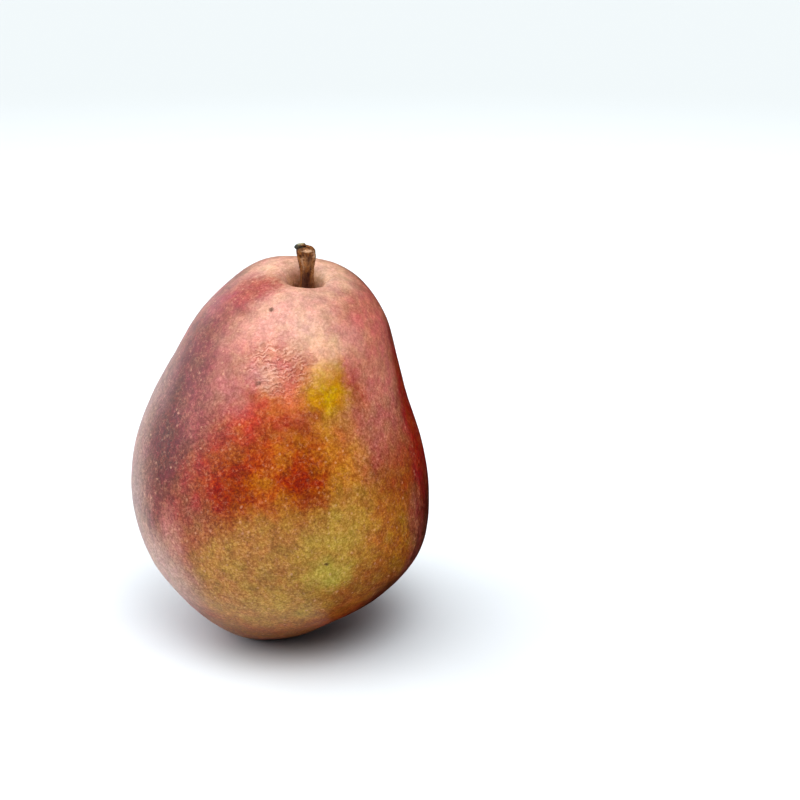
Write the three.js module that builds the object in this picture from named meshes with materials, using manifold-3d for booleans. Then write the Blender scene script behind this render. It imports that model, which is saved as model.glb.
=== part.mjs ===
// A ripe red winter pear: short and egg-shaped, with hardly any neck, standing on its
// calyx end. It is 79 mm across the belly and 101 mm tall, or 107 mm with its stem.
// Millimetres, +Z up, -Y is the side that shows the most yellow and green.
// The origin is on the surface that the pear rests on, under the middle of its box.

import * as THREE from "three";
import { mergeVertices } from "three/addons/utils/BufferGeometryUtils.js";
import Module from "manifold-3d";

// Outline of the fruit, from the middle of the calyx basin, out over the rim that the
// fruit stands on, up the belly and over the crown, down to the floor of the stem cavity.
// Sway is how far the middle of that level lies along +X from the pear's main axis.
const OUTLINE = [
  { part: "basin floor", radius: 0, height: 6.0, sway: -4.5 },
  { part: "basin wall", radius: 3.0, height: 5.6, sway: -4.5 },
  { part: "basin wall", radius: 5.0, height: 3.2, sway: -4.5 },
  { part: "basin rim", radius: 7.0, height: 0, sway: -4.5 },
  { part: "basin rim", radius: 8.6, height: -0.25, sway: -4.5 },
  { part: "foot", radius: 11.8, height: 1.0, sway: -4.4 },
  { part: "foot", radius: 16.4, height: 3.7, sway: -4.2 },
  { part: "foot", radius: 22.2, height: 8.0, sway: -3.2 },
  { part: "lower belly", radius: 30.2, height: 15.0, sway: -0.8 },
  { part: "lower belly", radius: 37.0, height: 25.0, sway: 0 },
  { part: "belly", radius: 39.5, height: 39.0, sway: -1.0 },
  { part: "upper belly", radius: 37.9, height: 52.4, sway: -1.4 },
  { part: "shoulder", radius: 33.7, height: 64.8, sway: -1.0 },
  { part: "shoulder", radius: 28.9, height: 76.4, sway: 0.7 },
  { part: "crown", radius: 24.0, height: 87.2, sway: 2.4 },
  { part: "crown", radius: 17.4, height: 95.0, sway: 3.8 },
  { part: "crown", radius: 12.8, height: 97.8, sway: 4.5 },
  { part: "crown ridge", radius: 9.2, height: 99.0, sway: 4.8 },
  { part: "crown ridge", radius: 7.0, height: 98.9, sway: 4.8 },
  { part: "cavity mouth", radius: 5.5, height: 97.9, sway: 4.8 },
  { part: "cavity wall", radius: 4.6, height: 96.0, sway: 4.8 },
  { part: "cavity wall", radius: 3.9, height: 93.6, sway: 4.8 },
  { part: "cavity floor", radius: 2.9, height: 92.2, sway: 4.8 },
  { part: "cavity floor", radius: 0, height: 91.8, sway: 4.8 },
];
const OUTLINE_STEPS = 80;
const FRUIT_SIDES = 48;

// The main axis is straight up to the belly, and above it curves towards the side
// between -Y and +X, to this angle at the crown.
const LEAN_ANGLE = THREE.MathUtils.degToRad(15);
const LEAN_TOWARDS = THREE.MathUtils.degToRad(-70);
const LEAN_STARTS = 38;
const LEAN_SPAN = 62;

// No level is a true circle: it is slightly oval, with three broad flats, and five low
// lobes run from the basin rim into the foot and from the crown ridge down the shoulder.
const OVAL = { share: 0.008, peak: THREE.MathUtils.degToRad(70) };
const FLATS = { share: 0.006, peak: THREE.MathUtils.degToRad(35) };
// Each set of lobes fades over that height, and within that radius.
const FOOT_LOBES = { count: 5, rise: 0.2, fades: 16, within: 5, peak: THREE.MathUtils.degToRad(20) };
const CROWN_LOBES = { count: 5, rise: 0.15, fades: 22, within: 8, peak: THREE.MathUtils.degToRad(52) };
const CROWN_TOP = 99;

// The woody stem stands in a plain round socket in the cavity floor. Its lean is how far
// the middle of that level lies along +X, and its heights start at the cavity floor.
const GAP = 0.3;
const ROOT_RADIUS = 1.7;
const ROOT_DEPTH = 3;
const STEM_SIDES = 20;
const STEM_OUTLINE = [
  { part: "foot", radius: 2.0, height: 0.9, lean: 0.25 },
  { part: "foot", radius: 1.85, height: 2.4, lean: 0.5 },
  { part: "shaft", radius: 1.72, height: 4.9, lean: 0.75 },
  { part: "shaft", radius: 1.77, height: 8.6, lean: 0.8 },
  { part: "flare", radius: 2.0, height: 10.3, lean: 0.7 },
  { part: "head", radius: 2.28, height: 11.6, lean: 0.6 },
  { part: "head", radius: 2.36, height: 12.8, lean: 0.45 },
  { part: "head", radius: 2.22, height: 13.8, lean: 0.3 },
  { part: "top", radius: 1.5, height: 14.4, lean: 0.15 },
  { part: "top", radius: 0, height: 14.3, lean: 0.1 },
];
const STEM_STEPS = 26;
const STEM_RIDGES = { count: 5, share: 0.06, twist: 0.09 };
const SCAR_LIP = { size: [1.55, 1.3, 0.8], at: [-0.85, -0.2, 14.45], tilt: -0.22 };
const BUD_SCAR = { size: [0.7, 0.65, 0.5], at: [1.2, -0.85, 14.15], tilt: 0.3 };

// Dried remains of the flower: a small cup, five leathery sepals and a tuft of stamens.
// The cup's sizes along the height are how far each level lies below the basin floor.
const CUP = { radius: 2.5, wall: 0.7, floor: 0.2, neck: 0.4, shoulder: 0.9, rim: 1.5 };
const CALYX_ROOT = { radius: 1.9, depth: 2 };
const SEPALS = 5;
const SEPAL = { length: 4.3, width: 2.6, thickness: 0.65, tip: 0.1, flare: 1.7, curl: 0.9 };
const SEPAL_CUPPING = 0.16;
const SEPAL_ROOT = 1;
const STAMENS = 9;
const STAMEN = { radius: 0.32, tip: 0.29, length: 2.6, ring: 1.05, tilt: 0.22, root: 0.4 };

const SKIN = new THREE.MeshStandardMaterial({ color: 0xa2523f, roughness: 0.42, metalness: 0 });
const BARK = new THREE.MeshStandardMaterial({ color: 0x6a4a30, roughness: 0.85, metalness: 0 });
const DRIED = new THREE.MeshStandardMaterial({ color: 0x4a3526, roughness: 0.9, metalness: 0 });

const wasm = await Module();
wasm.setup();

/** A closed geometry as a solid that can be joined and cut. */
function solidOf(geometry) {
  const bare = geometry.clone();
  bare.deleteAttribute("normal");
  bare.deleteAttribute("uv");
  const merged = mergeVertices(bare, 1e-4);
  return new wasm.Manifold(
    new wasm.Mesh({
      numProp: 3,
      vertProperties: merged.attributes.position.array,
      triVerts: new Uint32Array(merged.index.array),
    }),
  );
}

/** A solid as a named mesh. */
function meshOf(name, solid, material) {
  const { vertProperties, triVerts } = solid.getMesh();
  const geometry = new THREE.BufferGeometry();
  geometry.setAttribute("position", new THREE.BufferAttribute(vertProperties, 3));
  geometry.setIndex(new THREE.BufferAttribute(triVerts, 1));
  geometry.computeVertexNormals();
  const mesh = new THREE.Mesh(geometry, material);
  mesh.name = name;
  return mesh;
}

/** Turns a closed outline about +Z, with place(row, azimuth) giving each vertex its point. */
function turned(rows, sides, place) {
  const profile = rows.map((row) => new THREE.Vector2(row.radius, row.height));
  const geometry = new THREE.LatheGeometry(profile, sides);
  const position = geometry.attributes.position;
  for (let i = 0; i < position.count; i++) {
    const row = rows[i % rows.length];
    const azimuth = (2 * Math.PI * Math.floor(i / rows.length)) / sides;
    position.setXYZ(i, ...place(row, azimuth).toArray());
  }
  return geometry;
}

/** The smooth curve through rows of radius, shift and height, as that many steps of rows. */
function smoothRows(rows, shiftOf, steps) {
  const stations = rows.map((row) => new THREE.Vector3(row.radius, shiftOf(row), row.height));
  const curve = new THREE.CatmullRomCurve3(stations, false, "centripetal");
  return curve
    .getPoints(steps)
    .map((point) => ({ radius: Math.max(point.x, 0), shift: point.y, height: point.z }));
}

/** Moves a point of the upright pear to where the curve of its main axis takes it. */
function lean(point) {
  const above = Math.max(0, point.z - LEAN_STARTS);
  const turn = LEAN_ANGLE * (above / LEAN_SPAN) ** 2;
  const drift = (LEAN_ANGLE * above ** 3) / (3 * LEAN_SPAN ** 2);
  const towards = new THREE.Vector3(Math.cos(LEAN_TOWARDS), Math.sin(LEAN_TOWARDS), 0);
  const out = point.dot(towards);
  point.addScaledVector(towards, drift + out * (Math.cos(turn) - 1));
  point.z -= out * Math.sin(turn);
  return point;
}

/** How far a wave with that many crests has risen at an azimuth, from -1 to 1. */
function wave(count, azimuth, peak) {
  return Math.cos(count * (azimuth - peak));
}

/** How high a set of lobes stands at a distance from its end of the pear. */
function lobes({ count, rise, fades, within, peak }, distance, radius, azimuth) {
  const fade = Math.max(0, 1 - distance / fades) * Math.min(1, radius / within);
  return rise * fade * wave(count, azimuth, peak);
}

/** The point of the skin at a row of the outline and an azimuth. */
function skinPoint(row, azimuth) {
  const share = OVAL.share * wave(2, azimuth, OVAL.peak) + FLATS.share * wave(3, azimuth, FLATS.peak);
  const radius = row.radius * (1 + share);
  const rise =
    lobes(CROWN_LOBES, CROWN_TOP - row.height, row.radius, azimuth) -
    lobes(FOOT_LOBES, row.height, row.radius, azimuth);
  return lean(
    new THREE.Vector3(
      row.shift + radius * Math.cos(azimuth),
      radius * Math.sin(azimuth),
      Math.max(0, row.height + rise),
    ),
  );
}

/** A plain round socket or peg between two heights. */
function peg(centre, radius, low, high) {
  const geometry = new THREE.CylinderGeometry(radius, radius, high - low, STEM_SIDES);
  geometry.rotateX(Math.PI / 2);
  geometry.translate(centre.x, centre.y, (low + high) / 2);
  return solidOf(geometry);
}

/** A small rounded lump, an ellipsoid tilted about the Y axis. */
function lump({ size, at, tilt }) {
  const geometry = new THREE.SphereGeometry(1, 12, 8);
  geometry.scale(...size);
  geometry.rotateY(tilt);
  geometry.translate(...at);
  return solidOf(geometry);
}

/** The fruit, with the sockets that the stem and the calyx grow out of. */
function makeFruit(stemFoot, calyxFoot) {
  const rows = smoothRows(OUTLINE, (row) => row.sway, OUTLINE_STEPS);
  const body = solidOf(turned(rows, FRUIT_SIDES, skinPoint));
  const stemSocket = peg(
    stemFoot,
    ROOT_RADIUS + GAP,
    stemFoot.z - ROOT_DEPTH - GAP,
    stemFoot.z + ROOT_DEPTH,
  );
  const calyxSocket = peg(
    calyxFoot,
    CALYX_ROOT.radius + GAP,
    calyxFoot.z - CUP.rim,
    calyxFoot.z + CALYX_ROOT.depth + GAP,
  );
  return meshOf("fruit", body.subtract(stemSocket).subtract(calyxSocket), SKIN);
}

/** The stem: ribbed, thin in the middle, flared where it was picked off the spur. */
function makeStem(foot) {
  const rows = smoothRows(STEM_OUTLINE, (row) => row.lean, STEM_STEPS);
  const base = { radius: 0, shift: 0, height: rows[0].height };
  const shaft = solidOf(
    turned([base, ...rows], STEM_SIDES, (row, azimuth) => {
      const turn = STEM_RIDGES.twist * row.height;
      const ribs = STEM_RIDGES.share * wave(STEM_RIDGES.count, azimuth, turn);
      const radius = row.radius * (1 + ribs);
      const x = row.shift + radius * Math.cos(azimuth);
      return new THREE.Vector3(x, radius * Math.sin(azimuth), row.height);
    }),
  );
  const root = peg(new THREE.Vector3(), ROOT_RADIUS, -ROOT_DEPTH, rows[0].height + 1);
  const solid = shaft.add(root).add(lump(SCAR_LIP)).add(lump(BUD_SCAR));
  const stem = meshOf("stem", solid, BARK);
  stem.position.copy(foot);
  return stem;
}

/** One dried sepal, hanging from the cup's edge and curling outwards to its point. */
function sepal(azimuth) {
  const geometry = new THREE.BoxGeometry(SEPAL.width, SEPAL.thickness, SEPAL.length, 4, 1, 8);
  const position = geometry.attributes.position;
  for (let i = 0; i < position.count; i++) {
    const along = THREE.MathUtils.clamp(0.5 - position.getZ(i) / SEPAL.length, 0, 1);
    const narrowing = SEPAL.tip + (1 - SEPAL.tip) * Math.sqrt(1 - along ** 1.6);
    const x = position.getX(i) * narrowing;
    const out = CUP.radius - CUP.wall / 2 + SEPAL.flare * along ** 1.5 - SEPAL_CUPPING * x * x;
    const drop = SEPAL.length * along - SEPAL.curl * along ** 3;
    position.setXYZ(i, x, out + position.getY(i), -drop);
  }
  geometry.rotateZ(azimuth);
  geometry.translate(0, 0, -SEPAL_ROOT);
  return solidOf(geometry);
}

/** One withered stamen of the tuft, tilted outwards. */
function stamen(index) {
  const geometry = new THREE.CylinderGeometry(STAMEN.radius, STAMEN.tip, STAMEN.length, 6);
  geometry.rotateX(Math.PI / 2);
  geometry.translate(0, 0, -STAMEN.length / 2);
  geometry.rotateX(STAMEN.tilt * (1 + 0.5 * Math.sin(3.7 * index)));
  geometry.translate(0, STAMEN.ring, STAMEN.root);
  geometry.rotateZ((2 * Math.PI * index) / STAMENS);
  return solidOf(geometry);
}

/** The calyx, with its root in the socket above it. */
function makeCalyx(foot) {
  const cupRows = [
    [0, -CUP.floor],
    [CUP.radius - CUP.wall, -CUP.floor],
    [CUP.radius - CUP.wall, -CUP.rim],
    [CUP.radius, -CUP.rim],
    [CUP.radius, -CUP.shoulder],
    [CALYX_ROOT.radius, -CUP.neck],
    [CALYX_ROOT.radius, CALYX_ROOT.depth],
    [0, CALYX_ROOT.depth],
  ];
  const cup = new THREE.LatheGeometry(
    cupRows.map(([radius, height]) => new THREE.Vector2(radius, height)),
    STEM_SIDES,
  );
  cup.rotateX(Math.PI / 2);
  let solid = solidOf(cup);
  for (let i = 0; i < SEPALS; i++) {
    solid = solid.add(sepal((2 * Math.PI * i) / SEPALS));
  }
  for (let i = 0; i < STAMENS; i++) {
    solid = solid.add(stamen(i));
  }
  const calyx = meshOf("calyx", solid, DRIED);
  calyx.position.copy(foot);
  return calyx;
}

const basinFloor = OUTLINE[0];
const cavityFloor = OUTLINE[OUTLINE.length - 1];
const calyxFoot = new THREE.Vector3(basinFloor.sway, 0, basinFloor.height);
const stemFoot = lean(new THREE.Vector3(cavityFloor.sway, 0, cavityFloor.height));

const pear = new THREE.Group();
pear.add(makeFruit(stemFoot, calyxFoot), makeStem(stemFoot), makeCalyx(calyxFoot));

const middle = new THREE.Box3().setFromObject(pear).getCenter(new THREE.Vector3());
pear.position.set(-middle.x, -middle.y, 0);

export default pear;
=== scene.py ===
"""The looks of a ripe red winter pear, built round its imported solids.

The fruit, the stem and the calyx each get a fine mesh that follows the solid it stands
for, with the relief of the real one, and a finish that is worked out in nodes. Shapes are
worked out in millimetres in the row's frame, +Z up and -Y towards the camera, and are
scaled to metres once, where a mesh is made.
"""

import logging
import math
from dataclasses import dataclass, field, replace
from enum import Enum
from typing import Any

import bpy
import numpy as np
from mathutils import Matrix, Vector, noise


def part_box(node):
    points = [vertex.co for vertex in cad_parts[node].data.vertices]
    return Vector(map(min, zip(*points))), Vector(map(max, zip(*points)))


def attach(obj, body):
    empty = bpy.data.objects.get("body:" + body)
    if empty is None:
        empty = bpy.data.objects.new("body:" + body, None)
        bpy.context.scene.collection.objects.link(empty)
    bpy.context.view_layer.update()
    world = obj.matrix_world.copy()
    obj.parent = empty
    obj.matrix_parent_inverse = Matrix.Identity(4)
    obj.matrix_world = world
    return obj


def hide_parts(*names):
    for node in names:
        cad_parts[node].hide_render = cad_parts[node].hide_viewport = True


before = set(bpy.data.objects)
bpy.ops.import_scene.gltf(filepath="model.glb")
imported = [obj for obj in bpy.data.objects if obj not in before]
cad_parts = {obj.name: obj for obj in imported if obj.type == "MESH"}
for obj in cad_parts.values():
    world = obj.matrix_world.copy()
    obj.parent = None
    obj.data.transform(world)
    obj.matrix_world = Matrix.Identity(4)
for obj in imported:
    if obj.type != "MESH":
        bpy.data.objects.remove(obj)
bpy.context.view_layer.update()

LOG = logging.getLogger("pear")

MM = 0.001
BODY = "root"

# Numbers of the sockets of a colour mix: both colours that go in and the one that comes out.
MIX_A, MIX_B, MIX_COLOUR = 6, 7, 2

# Steps along a turned outline's curve from one station to the next.
CURVE_STEPS = 40

# The least length that a step of a curve or a normal is taken to have, to divide by it.
LEAST_STEP = 1e-4
LEAST_NORMAL = 1e-9

# Width of the broken up edge between two colours of a surface, in mm, and the largest share
# of a patch's size that it may take up.
EDGE_GRAIN = 0.9
EDGE_MOST = 0.3

# The share of a patch's size at which it has faded away.
EDGE_REACH = 1.2

# How strong each finer size of lumps in a noise is, as a share of the size above it.
NOISE_ROUGHNESS = 0.55

# Setting of a map range node, which makes its values ease in and out.
EASED = {"interpolation_type": "SMOOTHSTEP"}

# What feeds a shader: the output of a node, or a plain value or colour. What feeds a node
# is given by the names or numbers of its inputs, or in their order.
Socket = bpy.types.NodeSocket
Value = Socket | float
Colour = Socket | tuple[float, ...]
Inputs = dict[str | int, Any] | tuple[Any, ...]


def linear(hex_code: str) -> tuple[float, float, float, float]:
    """Turns an sRGB hex colour into linear red, green, blue and alpha.

    Args:
        hex_code: Six hex digits, with or without a leading hash sign.

    Returns:
        Linear RGBA, each from 0 to 1.
    """
    digits = hex_code.lstrip("#")
    shares = [int(digits[i : i + 2], 16) / 255 for i in (0, 2, 4)]
    values = [s / 12.92 if s <= 0.04045 else ((s + 0.055) / 1.055) ** 2.4 for s in shares]
    return (*values, 1.0)


def add(
    tree: bpy.types.NodeTree,
    kind: str,
    inputs: Inputs,
    output: str | int = 0,
    **settings: Any,
) -> Socket:
    """Adds a shader node, sets it up and feeds its inputs.

    Args:
        tree: The node tree to add to.
        kind: The node's type, without the word ShaderNode.
        inputs: The value or the socket that each input takes.
        output: The name or number of the output to hand back.
        settings: The node's own properties.

    Returns:
        The chosen output socket.
    """
    node = tree.nodes.new("ShaderNode" + kind)
    for name, value in settings.items():
        setattr(node, name, value)
    fed = inputs if isinstance(inputs, dict) else dict(enumerate(inputs))
    for key, value in fed.items():
        if isinstance(value, Socket):
            tree.links.new(value, node.inputs[key])
        else:
            node.inputs[key].default_value = value
    return node.outputs[output]


class Tint(Enum):
    """The colours of the pear's skin, stem and calyx, as sRGB hex values."""

    PLUM = "#581014"
    WINE = "#8c4032"
    MAUVE = "#8f4a46"
    DUSTY_ROSE = "#ab6c64"
    GREY_ROSE = "#93736b"
    # Whitened wax with painted highlight, in the rubbed place and on its wrinkles' crests.
    WAX_AND_GLINT = "#edc3b6"
    ROSE = "#c6766a"
    BRICK_ROSE = "#b66c5c"
    RASPBERRY = "#973f40"
    VEIL = "#b97c70"
    # Pale wax bloom with painted sheen, where the top light falls on the crown.
    BLOOM_AND_SHEEN = "#ca9686"
    # Pale peach skin, laid as painted sheen on the crown and as painted light on the cavity wall.
    PEACH = "#dfae90"
    CRIMSON = "#ab452c"
    BRICK = "#8e381f"
    # Deep red of the skin, also laid as painted shade on the right side.
    DEEP_RED = "#941c0c"
    # Painted shade on the lower right side of the pear.
    PAINTED_SHADE_RED = "#4c1408"
    RUST = "#892503"
    BURNT_ORANGE = "#a8561c"
    ORANGE = "#c27038"
    AMBER = "#b6722a"
    MUSTARD = "#bb8810"
    STRAW = "#d5a05c"
    HONEY = "#a06014"
    BROWN_TAN = "#985a22"
    TAN = "#a37036"
    PINK_TAN = "#ae877b"
    OLIVE = "#b49040"
    LEAF_GREEN = "#bba74a"
    FOOT_BROWN = "#884a0e"
    RUSSET = "#cfa390"
    LENTICEL = "#e3b091"
    SPECK = "#4b2a12"
    # Brown deep in the stem cavity, partly russet and partly painted shade.
    CAVITY_BROWN = "#93521f"
    BARK = "#965f29"
    BARK_RED = "#48200d"
    BARK_TAN = "#b58458"
    BARK_GREY = "#6d6a4c"
    BARK_PALE = "#d0a888"
    CAP_DARK = "#26261b"
    CAP_PALE = "#a3a383"
    CALYX = "#4a3222"
    CALYX_PALE = "#8a6a4a"


@dataclass(frozen=True)
class Station:
    """One level of a turned outline.

    Attributes:
        radius: Distance from the level's own middle, in mm.
        height: Height of the level, in mm.
        sway: How far its middle lies along +X from the axis, in mm.
    """

    radius: float
    height: float
    sway: float


@dataclass(frozen=True)
class Waves:
    """Crests that run round an axis.

    Attributes:
        count: Number of crests.
        size: Share of the radius, or height in mm.
        peak: Azimuth of a crest, in degrees.
        fades: Height over which they fade away, in mm.
        within: Radius within which they fade away, in mm.
    """

    count: int
    size: float
    peak: float
    fades: float = 1.0
    within: float = 1.0

    def at(self, azimuth: np.ndarray) -> np.ndarray:
        """The wave at those azimuths in radians, from minus its size to its size."""
        return self.size * np.cos(self.count * (azimuth - math.radians(self.peak)))


@dataclass(frozen=True)
class Patch:
    """An area of one colour with a ragged edge, centred on a point of the surface.

    Attributes:
        tint: Its colour.
        azimuth: Where its middle is, in degrees from +X towards +Y.
        height: Height of its middle, in mm.
        across: Half its width round the surface, in mm.
        along: Half its length up the surface, in mm.
        strength: How far it covers what is under it, from 0 to 1.
        slant: How far its top leans to the left, in degrees, seen from outside.
        core: The share of its size that has its full strength.
    """

    tint: Tint
    azimuth: float
    height: float
    across: float
    along: float
    strength: float = 1.0
    slant: float = 0.0
    core: float = 0.3


@dataclass(frozen=True)
class Dent:
    """A shallow hollow in a surface, round unless across and along differ.

    Attributes:
        azimuth: Where its middle is, in degrees.
        height: Height of its middle, in mm.
        across: Half its width, in mm.
        along: Half its length, in mm.
        depth: Its depth in mm, or minus the height of a bump.
    """

    azimuth: float
    height: float
    across: float
    along: float
    depth: float


@dataclass(frozen=True)
class Swell:
    """Unevenness of a surface, in soft lumps.

    Attributes:
        depth: How far it goes either side of its middle, in mm.
        size: Size of a lump, in mm.
        seed: Shifts the lumps, so that two swells differ.
        rise: Share of the height that counts, less than 1 for lumps that stand tall.
    """

    depth: float
    size: float
    seed: float
    rise: float = 1.0

    def at(self, points: np.ndarray) -> np.ndarray:
        """The swell at those points, from about minus its depth to its depth."""
        return self.depth * rough(points * (1, 1, self.rise), self.size, self.seed)


@dataclass(frozen=True)
class Pucker:
    """Folds that run down into the hollow at one end of the fruit.

    Attributes:
        folds: Number of folds.
        depth: Half their depth, in mm.
        radius: Distance from the axis at which they are deepest, in mm.
        width: Distance either side of it over which they fade, in mm.
        reach: Distance from the axis beyond which there are none, in mm.
        swerve: How far they swerve from an even spacing, in radians.
        swerves: Number of swerves round the hollow.
        shift: Where the swerves start, in radians.
        twist: How far the folds turn with height, in radians for each mm.
    """

    folds: int
    depth: float
    radius: float
    width: float
    reach: float
    swerve: float
    swerves: int
    shift: float = 0.0
    twist: float = 0.0

    def at(self, radius: np.ndarray, height: np.ndarray, azimuth: np.ndarray) -> np.ndarray:
        """How far the folds sink the skin.

        Args:
            radius: Distances from the axis, in mm.
            height: Heights, in mm.
            azimuth: Azimuths, in radians.

        Returns:
            The depth of the folds there, in mm.
        """
        turn = self.folds * azimuth + self.swerve * np.sin(self.swerves * azimuth + self.shift)
        fade = np.exp(-(((radius - self.radius) / self.width) ** 2)) * (radius < self.reach)
        return self.depth * fade * (1 + np.cos(turn + self.twist * height))


@dataclass(frozen=True)
class Lump:
    """A rough rounded lump on the head of the stem.

    Attributes:
        size: Its half lengths, in mm.
        middle: Where its middle is, in mm from the stem's foot.
        tilt: Its turn about the Y axis, in radians.
        swell: Its unevenness, on a ball with a radius of 1.
        rows: Rows of its grid.
        columns: Columns of its grid.
    """

    size: tuple[float, float, float]
    middle: tuple[float, float, float]
    tilt: float
    swell: Swell
    rows: int = 25
    columns: int = 40

    def grid(self) -> np.ndarray:
        """Lays a grid over the lump.

        Returns:
            A closed grid of points, in mm from the stem's foot.
        """
        polar = np.linspace(-math.pi / 2, math.pi / 2, self.rows)[:, None]
        ball = turned_grid(np.cos(polar), azimuths(self.columns), np.sin(polar))
        shell = ball * (1 + self.swell.at(ball))[..., None] * self.size
        x, y, z = np.moveaxis(shell, -1, 0)
        cosine, sine = math.cos(self.tilt), math.sin(self.tilt)
        return np.stack([cosine * x + sine * z, y, cosine * z - sine * x], axis=-1) + self.middle


def azimuths(count: int) -> np.ndarray:
    """Evenly spaced azimuths all the way round, in radians."""
    return np.linspace(0, 2 * math.pi, count, endpoint=False)


def turned_grid(
    radius: np.ndarray, azimuth: np.ndarray, height: np.ndarray, sway: np.ndarray | float = 0.0
) -> np.ndarray:
    """Points of a turned surface.

    Args:
        radius: Distances from the level's own middle.
        azimuth: Azimuths of the columns, in radians.
        height: Heights of the rows or of the points.
        sway: How far the middle of each row lies along +X from the axis.

    Returns:
        A grid of points, in the units of its arguments.
    """
    x = sway + radius * np.cos(azimuth)
    y = radius * np.sin(azimuth)
    return np.stack([x, y, height + 0 * azimuth], axis=-1)


def levels_of(stations: tuple[Station, ...]) -> np.ndarray:
    """One row for each station, with its radius, sway and height in mm."""
    return np.array([(s.radius, s.sway, s.height) for s in stations], dtype=float)


def smooth_rows(stations: tuple[Station, ...]) -> np.ndarray:
    """The centripetal Catmull-Rom curve through the stations of an outline.

    Args:
        stations: The levels that the curve goes through.

    Returns:
        One row for each step along the curve, with its radius, sway and height in mm.
    """
    known = levels_of(stations)
    ends = (2 * known[0] - known[1], 2 * known[-1] - known[-2])
    points = np.vstack([ends[0], known, ends[1]])
    gaps = len(known) - 1
    position = np.linspace(0, gaps, CURVE_STEPS * gaps + 1)
    gap = np.minimum(position.astype(int), gaps - 1)
    part = (position - gap)[:, None]
    p0, p1, p2, p3 = (points[gap + i] for i in range(4))
    knots = [np.linalg.norm(b - a, axis=1)[:, None] ** 0.5 for a, b in ((p0, p1), (p1, p2), (p2, p3))]
    d0, d1, d2 = (np.maximum(k, LEAST_STEP) for k in knots)
    start = ((p1 - p0) / d0 - (p2 - p0) / (d0 + d1) + (p2 - p1) / d1) * d1
    end = ((p2 - p1) / d1 - (p3 - p1) / (d1 + d2) + (p3 - p2) / d2) * d1
    square = (-3 * p1 + 3 * p2 - 2 * start - end) * part**2
    rows = p1 + start * part + square + (2 * p1 - 2 * p2 + start + end) * part**3
    rows[:, 0] = np.maximum(rows[:, 0], 0)
    return rows


def evened(rows: np.ndarray, count: int, spacing: np.ndarray | None = None) -> np.ndarray:
    """Picks rows along a curve so that they lie as close as the spacing asks.

    Args:
        rows: A fine curve, one row a step.
        count: Number of rows to return.
        spacing: The relative distance wanted between rows, at each row of the curve, or
            None for the same all the way.

    Returns:
        The picked rows, with the first and the last of the curve among them.
    """
    lengths = np.linalg.norm(np.diff(rows, axis=0), axis=1)
    if spacing is not None:
        lengths = lengths / spacing[1:]
    travelled = np.concatenate([[0], np.cumsum(lengths)])
    wanted = np.linspace(0, travelled[-1], count)
    return np.stack([np.interp(wanted, travelled, rows[:, k]) for k in range(3)], axis=1)


def rough(points: np.ndarray, size: float, seed: float) -> np.ndarray:
    """Smooth noise, about -1 to 1, in lumps of about that size.

    Args:
        points: Points in mm, the last axis holding x, y and z.
        size: Size of one lump, in mm.
        seed: Shifts the noise, so that two calls differ.

    Returns:
        One value for each point.
    """
    flat = points.reshape(-1, 3) / size + seed
    values = [noise.noise(Vector(p)) for p in flat]
    return np.array(values).reshape(points.shape[:-1])


def grid_normals(points: np.ndarray) -> np.ndarray:
    """Outward unit normals of a grid of rows by columns that closes on itself.

    Args:
        points: The grid, whose columns run counter-clockwise seen from above.

    Returns:
        One unit normal for each point.
    """
    around = np.roll(points, -1, axis=1) - np.roll(points, 1, axis=1)
    upward = np.gradient(points, axis=0)
    normals = np.cross(around, upward)
    return normals / np.maximum(np.linalg.norm(normals, axis=-1, keepdims=True), LEAST_NORMAL)


def put_mesh(
    name: str, points: np.ndarray, faces: list[tuple[int, ...]], material: bpy.types.Material
) -> bpy.types.Object:
    """Puts a mesh object in the scene, in metres.

    Args:
        name: Its name.
        points: Its vertices, in mm.
        faces: The numbers of each face's vertices.
        material: Its finish.

    Returns:
        The new object.
    """
    mesh = bpy.data.meshes.new(name)
    mesh.from_pydata((points * MM).tolist(), [], faces)
    mesh.materials.append(material)
    thing = bpy.data.objects.new(name, mesh)
    bpy.context.scene.collection.objects.link(thing)
    return thing


@dataclass
class MeshParts:
    """Vertices in mm and faces, gathered before they become one mesh."""

    points: list[np.ndarray] = field(default_factory=list)
    faces: list[tuple[int, ...]] = field(default_factory=list)
    total: int = 0

    def grid(self, points: np.ndarray) -> None:
        """Adds a closed tube of rows by columns, with its first and last rows as points.

        Args:
            points: The grid in mm, whose first and last rows are each one point.
        """
        rows, columns = points.shape[:2]
        start = self.total
        body = points[1:-1].reshape(-1, 3)
        self.points.append(np.vstack([body, points[0, :1], points[-1, :1]]))
        self.total += len(body) + 2
        first, last = start + len(body), start + len(body) + 1
        for c in range(columns):
            after = (c + 1) % columns
            self.faces.append((first, start + after, start + c))
            base = start + (rows - 3) * columns
            self.faces.append((last, base + c, base + after))
            for r in range(rows - 3):
                here = start + r * columns
                self.faces.append((here + c, here + after, here + columns + after, here + columns + c))

    def make(self, name: str, material: bpy.types.Material) -> bpy.types.Object:
        """Makes the mesh object, smooth shaded, in metres.

        Args:
            name: Name of the piece.
            material: Its finish.

        Returns:
            The new object, linked to the scene.
        """
        piece = put_mesh(name, np.vstack(self.points), self.faces, material)
        piece.data.validate()
        piece.data.shade_smooth()
        return piece


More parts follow.
